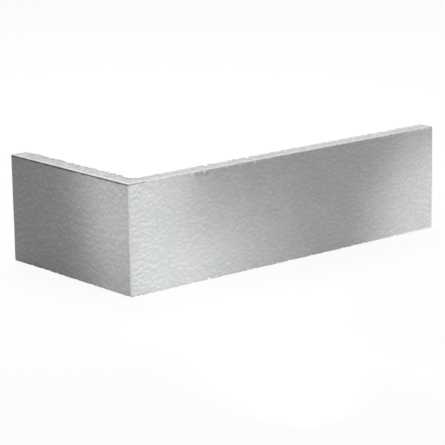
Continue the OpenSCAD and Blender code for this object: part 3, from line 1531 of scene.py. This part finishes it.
@dataclass
class CornerSlip:
    """The slip itself: its section, its drawn body, its relief and its two finishes."""

    sizes: SlipSizes
    relief: ReliefSizes
    smooth_below: float = math.radians(48)
    chip_bare: float = 3.0
    rim_reach: float = 1.25 * MM
    rim_run: float = 34.0 * MM
    rim_turn: float = 0.4 * MM
    rim_strength: float = 1.6
    rim_long: float = 0.55

    def build(self) -> bpy.types.Object:
        """Makes the finished piece.

        Returns:
            The piece, with its place in its mesh.
        """
        effects = ClayEffects.build()
        clay = RawClay(effects)
        coat = SatinCoat(effects, clay=clay, crescents=self.crescents())
        plan = PlanSheet(self.sizes)
        piece = plan.build()
        KeyedBody(plan).put_on(piece)
        Relief(self.sizes, self.relief, coat.material(), clay.material()).put_on(piece)
        self.settle(piece)
        self.press(piece.data)
        self.close(piece.data)
        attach(piece, "root")
        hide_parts("corner_slip")
        return piece

    def crescents(self) -> tuple[tuple[Vector, float], ...]:
        """Lists each crescent's centre and reach.

        Returns:
            The centres and reaches, in metres.
        """
        found = []
        for mark in MARKS:
            if mark.form is Form.CRESCENT:
                place = Vector((0.0, 0.0, mark.tall))
                place[mark.side.value] = mark.along
                found.append((self.sizes.low + place, mark.reach))
        return tuple(found)

    @staticmethod
    def settle(piece: bpy.types.Object) -> None:
        """Turns the trees' result into the piece's plain mesh.

        Args:
            piece: The piece that carries the trees.
        """
        graph = bpy.context.evaluated_depsgraph_get()
        mesh = bpy.data.meshes.new_from_object(piece.evaluated_get(graph), depsgraph=graph)
        piece.modifiers.clear()
        old = piece.data
        piece.data = mesh
        mesh.name = "corner_slip_body"
        if mesh.materials[0] is None:
            mesh.materials.pop(index=0)
        bpy.data.meshes.remove(old)

    def press(self, mesh: bpy.types.Mesh) -> None:
        """Presses the single marks into the faces, and tells where the coat carries painted shadow, where it
        is darker along the top edge and where it turns round the outer corner.

        Args:
            mesh: The piece's plain mesh.
        """
        s = self.sizes
        spots = np.empty(len(mesh.vertices) * 3)
        mesh.vertices.foreach_get("co", spots)
        spots = spots.reshape(-1, 3)
        bare, coat = np.empty(len(spots)), np.empty(len(spots))
        mesh.attributes["bare"].data.foreach_get("value", bare)
        mesh.attributes["coat"].data.foreach_get("value", coat)
        shade = np.zeros(len(spots))
        for mark in MARKS:
            if mark.form is Form.CRESCENT:
                continue
            run, axis = mark.side.value, 1 - mark.side.value
            on_face = (coat > FULL_COAT) & (spots[:, axis] < s.low[axis] + 2 * s.arris_radius)
            away = np.hypot(spots[:, run] - s.low[run] - mark.along, spots[:, 2] - mark.tall)
            weight = np.where(on_face, np.clip(1 - (away / mark.reach) ** 2, 0.0, 1.0) ** 2, 0.0)
            spots[:, axis] += weight * mark.depth
            # Painted shadow in the dents below the chips.
            shade = np.maximum(shade, np.sqrt(weight) * mark.shade)
            if mark.form is Form.CHIP:
                bare = np.maximum(bare, np.clip(weight * self.chip_bare, 0.0, 1.0))
        arc = s.corner_radius
        # Darker along the top edge: all along the short face, fading out along the long face.
        near_top = np.clip(1 - (s.high.z - spots[:, 2]) / self.rim_reach, 0.0, 1.0) * self.rim_strength
        run = np.clip(1 - (spots[:, 0] - s.low.x - arc) / self.rim_run, 0.0, 1.0) * self.rim_long
        rim = np.clip(near_top * np.where(spots[:, 0] < s.low.x + self.rim_turn, 1.0, run), 0, 1) * coat
        # The rounded outer corner, where the coat is darker.
        corner_arc = (coat > FULL_COAT) & (spots[:, 0] < s.low.x + arc) & (spots[:, 1] < s.low.y + arc)
        mesh.vertices.foreach_set("co", spots.ravel())
        mesh.attributes["bare"].data.foreach_set("value", bare)
        for name, values in (("shade", shade), ("corner_arc", corner_arc.astype(float)), ("rim", rim)):
            mesh.attributes.new(name, "FLOAT", "POINT").data.foreach_set("value", values)

    def close(self, mesh: bpy.types.Mesh) -> None:
        """Turns the faces outwards and keeps the hard edges hard.

        Args:
            mesh: The piece's plain mesh.
        """
        shell = bmesh.new()
        shell.from_mesh(mesh)
        bmesh.ops.recalc_face_normals(shell, faces=shell.faces)
        open_edges = sum(not edge.is_manifold for edge in shell.edges)
        volume = shell.calc_volume(signed=True)
        shell.to_mesh(mesh)
        shell.free()
        mesh.shade_smooth()
        mesh.set_sharp_from_angle(angle=self.smooth_below)
        mesh.update()
        LOG.info("body: %d faces, %d open edges, %.1f cm3", len(mesh.polygons), open_edges, volume / CM3)


@dataclass(frozen=True)
class ViewPoint:
    """The photograph's viewing angle, fitted to the slip's edges."""

    azimuth: float = math.radians(-39.8448)
    elevation: float = math.radians(13.5524)
    roll: float = math.radians(-0.9527)
    distance: float = 1271.99 * MM
    slide: float = -3.63 * MM
    lift: float = 13.07 * MM
    focal_pixels: float = 2060.63
    frame_pixels: float = 445.0
    sensor: float = 36.0
    clip: Pair = (0.01, 20.0)

    def build(self) -> bpy.types.Object:
        """Makes the camera.

        Returns:
            The camera's object.
        """
        a, e = self.azimuth, self.elevation
        back = Vector((math.sin(a) * math.cos(e), -math.cos(a) * math.cos(e), math.sin(e)))
        right = Vector((math.cos(a), math.sin(a), 0.0))
        up = back.cross(right)
        data = bpy.data.cameras.new("view_camera")
        data.sensor_width = self.sensor
        data.lens = self.focal_pixels / self.frame_pixels * self.sensor
        data.clip_start, data.clip_end = self.clip
        camera = put_in_scene("view_camera", data)
        tilted_right = right * math.cos(self.roll) + up * math.sin(self.roll)
        tilted_up = up * math.cos(self.roll) - right * math.sin(self.roll)
        axes = Matrix((tilted_right, tilted_up, back)).transposed()
        camera.rotation_mode = "QUATERNION"
        camera.rotation_quaternion = axes.to_quaternion()
        camera.location = back * self.distance + right * self.slide + up * self.lift
        bpy.context.scene.camera = camera
        return camera


@dataclass(frozen=True)
class Light:
    """One light: where it is and what it looks at in metres, and how strong it is in watts."""

    kind: ClassVar[str]
    title: str
    place: tuple[float, float, float]
    aim: tuple[float, float, float]
    power: float

    def build(self) -> bpy.types.Object:
        """Makes the light.

        Returns:
            The light's object.
        """
        data = bpy.data.lights.new(self.title, self.kind)
        data.energy = self.power
        self.shape(data)
        light = put_in_scene(self.title, data)
        light.location = self.place
        light.rotation_mode = "QUATERNION"
        light.rotation_quaternion = (Vector(self.aim) - Vector(self.place)).to_track_quat("-Z", "Y")
        light.visible_camera = False
        return light

    def shape(self, data: bpy.types.Light) -> None:
        """Gives the light its own form, which each kind does in its own way."""
        raise NotImplementedError


@dataclass(frozen=True)
class Lamp(Light):
    """A soft round lamp of some width."""

    kind: ClassVar[str] = "AREA"
    width: float

    def shape(self, data: bpy.types.AreaLight) -> None:
        """Makes the lamp round and as wide as it is."""
        data.shape = "DISK"
        data.size = self.width


@dataclass(frozen=True)
class Beam(Light):
    """A round beam that fades softly to its edge, with its angle in degrees."""

    kind: ClassVar[str] = "SPOT"
    angle: float
    radius: float = 0.02

    def shape(self, data: bpy.types.SpotLight) -> None:
        """Sets the beam's spread and softness.

        Args:
            data: The light.
        """
        data.spot_size = math.radians(self.angle)
        data.spot_blend = 1.0
        data.shadow_soft_size = self.radius


FACE_Y = CAD_BOX[0][1]
LIGHTS = (
    Lamp("top_lamp", (0.25, 0.45, 0.9), (0.0, 0.0, 0.05), 7.74, width=0.6),
    Lamp("end_lamp", (0.3, -0.25, 0.03), (0.1, FACE_Y, 0.02), 0.308, width=0.1),
    Lamp("near_lamp", (-0.115, -0.16, 0.06), (-0.1, FACE_Y, 0.04), 0.046, width=0.06),
    Beam("left_beam", (-0.2, -0.3, 0.03), (-0.055, FACE_Y, -0.05), 2.25, angle=47),
    Beam("right_beam", (0.0, -0.4, 0.03), (0.149, FACE_Y, -0.02), 4.45, angle=34),
    Beam("low_beam", (-0.1, -0.35, 0.03), (-0.1, FACE_Y, -0.02), 1.04, angle=30),
    Beam("high_beam", (-0.1, -0.45, 0.12), (-0.12, FACE_Y, 0.07), 3.45, angle=18),
    Beam("upper_side_beam", (-0.45, -0.05, 0.12), (-0.12, -0.045, 0.06), 2.09, angle=16),
    Beam("lower_side_beam", (-0.45, -0.05, 0.03), (-0.12, -0.05, 0.01), 1.12, angle=16),
    Beam("side_beam", (-0.35, 0.0, 0.1), (-0.12, -0.03, 0.05), 0.313, angle=30),
)


@dataclass(frozen=True)
class Studio:
    """The plain pale floor, the white surround and the soft lights."""

    floor_size: float = 8.0
    floor_drop: float = 0.2 * MM
    floor_tone: Colour = (0.5, 0.5, 0.5)
    floor_rough: float = 0.9
    white: Colour = (1.0, 1.0, 1.0)
    shown_white: float = 0.92
    surround: float = 0.323

    def build(self) -> None:
        """Makes the floor, the surround and the lights."""
        self.build_floor()
        self.build_world()
        for light in LIGHTS:
            light.build()

    @staticmethod
    def seen(canvas: Canvas) -> Wire:
        """Tells what the camera, a gloss or a glass sees, from what only lights.

        Args:
            canvas: The material's or the world's canvas.

        Returns:
            1 for a ray that shows the surround, otherwise 0.
        """
        path = canvas.add("ShaderNodeLightPath").outputs
        rays = [Wire(canvas, path[f"Is {kind} Ray"]) for kind in ("Camera", "Glossy", "Transmission")]
        return canvas.math("ADD", rays[0] + rays[1], rays[2], clamp=True)

    def build_floor(self) -> bpy.types.Object:
        """Makes the floor, which shows nearly white and keeps a soft shadow.

        Returns:
            The floor's object.
        """
        mesh = bpy.data.meshes.new("floor")
        half = self.floor_size / 2
        corners = [(x * half, y * half, -self.floor_drop) for x, y in ((-1, -1), (1, -1), (1, 1), (-1, 1))]
        mesh.from_pydata(corners, [], [(0, 1, 2, 3)])
        material, canvas, shader = new_material("studio_floor")
        seen = self.seen(canvas)
        canvas.feed(shader.inputs["Base Color"], canvas.blend(seen, rgba(self.floor_tone), rgba(self.white)))
        shader.inputs["Roughness"].default_value = self.floor_rough
        lit = Wire(canvas, shader.outputs[0])
        bright = canvas.out("ShaderNodeEmission", {"Strength": 1.0})
        mixed = canvas.out("ShaderNodeMixShader", {0: seen * self.shown_white, 1: lit, 2: bright})
        end = next(n for n in material.node_tree.nodes if n.type == "OUTPUT_MATERIAL")
        canvas.feed(end.inputs["Surface"], mixed)
        mesh.materials.append(material)
        floor = put_in_scene("floor", mesh)
        return floor

    def build_world(self) -> None:
        """Makes the surround: white to look at, plainer as a light."""
        world = bpy.data.worlds.new("surround")
        world.use_nodes = True
        bpy.context.scene.world = world
        canvas = Canvas(world.node_tree)
        backdrop = next(n for n in world.node_tree.nodes if n.type == "BACKGROUND")
        backdrop.inputs["Color"].default_value = rgba(self.white)
        canvas.feed(backdrop.inputs["Strength"], canvas.lerp(self.seen(canvas), self.surround, 1.0))


def main() -> None:
    """Builds the slip, its camera and its studio."""
    logging.basicConfig(level=logging.INFO, format="%(name)s: %(message)s")
    bpy.context.scene.view_settings.view_transform = "Standard"
    slip = CornerSlip(SlipSizes.from_frame(), ReliefSizes()).build()
    LOG.info("%s: %d points", slip.name, len(slip.data.vertices))
    ViewPoint().build()
    Studio().build()


if __name__ == "__main__":
    main()
